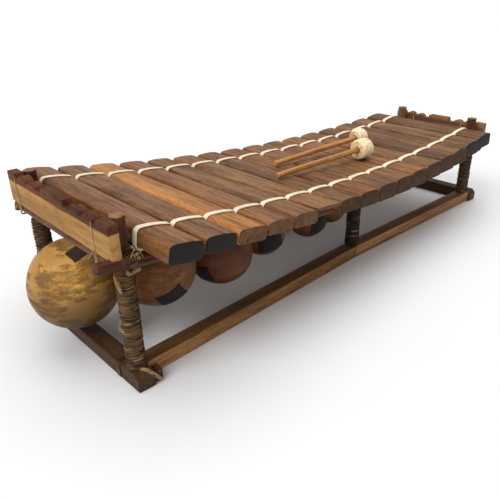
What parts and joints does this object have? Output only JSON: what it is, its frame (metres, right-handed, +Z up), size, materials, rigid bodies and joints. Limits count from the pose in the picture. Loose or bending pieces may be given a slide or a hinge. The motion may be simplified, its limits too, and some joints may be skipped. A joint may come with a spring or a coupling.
{
  "type": "frame xylophone",
  "caption": "West African frame xylophone (balafon): laced hardwood bars on a lashed wooden frame, gourd resonators beneath, two rubber-headed mallets on top.",
  "frame": {"origin": "on the floor, under the middle of the overall box", "axes": "+X along the keyboard from the long low bars to the short high ones, +Y to the back, +Z up"},
  "size_m": [1.055, 0.42, 0.2484],
  "materials": {
    "bar_wood": "satin",
    "frame_wood": "matte",
    "board_wood": "matte",
    "gourd": "satin",
    "lacing": "matte",
    "twine": "matte",
    "mallet_wood": "satin",
    "mallet_rubber": "matte"
  },
  "bodies": {
    "frame": {"bar_01": "bar_wood", "bar_02": "bar_wood", "bar_03": "bar_wood", "bar_04": "bar_wood", "bar_05": "bar_wood", "bar_06": "bar_wood", "bar_07": "bar_wood", "bar_08": "bar_wood", "bar_09": "bar_wood", "bar_10": "bar_wood", "bar_11": "bar_wood", "bar_12": "bar_wood", "bar_13": "bar_wood", "bar_14": "bar_wood", "bar_15": "bar_wood", "bar_16": "bar_wood", "bottom_rail_back": "frame_wood", "bottom_rail_front_left": "frame_wood", "bottom_rail_front_right": "frame_wood", "bottom_rail_left": "frame_wood", "bottom_rail_right": "frame_wood", "cross_stick_left": "frame_wood", "cross_stick_right": "frame_wood", "end_board_left": "board_wood", "end_board_right": "board_wood", "gourd_back_1": "gourd", "gourd_back_2": "gourd", "gourd_back_3": "gourd", "gourd_back_4": "gourd", "gourd_back_5": "gourd", "gourd_back_6": "gourd", "gourd_back_7": "gourd", "gourd_back_8": "gourd", "gourd_front_1": "gourd", "gourd_front_2": "gourd", "gourd_front_3": "gourd", "gourd_front_4": "gourd", "gourd_front_5": "gourd", "gourd_front_6": "gourd", "gourd_front_7": "gourd", "gourd_front_8": "gourd", "lacing_back": "lacing", "lacing_front": "lacing", "post_back_left": "frame_wood", "post_back_middle": "frame_wood", "post_back_right": "frame_wood", "post_front_left": "frame_wood", "post_front_middle": "frame_wood", "post_front_right": "frame_wood", "side_pole_back": "frame_wood", "side_pole_front": "frame_wood", "winding_back_left": "twine", "winding_back_right": "twine", "winding_front_left": "twine", "winding_front_middle": "twine", "winding_front_right": "twine"},
    "mallet_back": {"mallet_back_stick": "mallet_wood", "mallet_back_head": "mallet_rubber"},
    "mallet_front": {"mallet_front_stick": "mallet_wood", "mallet_front_head": "mallet_rubber"}
  },
  "joints": [
    {"name": "mallet_back_lift", "type": "slide", "parent": "frame", "child": "mallet_back", "axis": [0, 0, 1], "range_m": [0, 0.15]},
    {"name": "mallet_front_lift", "type": "slide", "parent": "frame", "child": "mallet_front", "axis": [0, 0, 1], "range_m": [0, 0.15]}
  ]
}
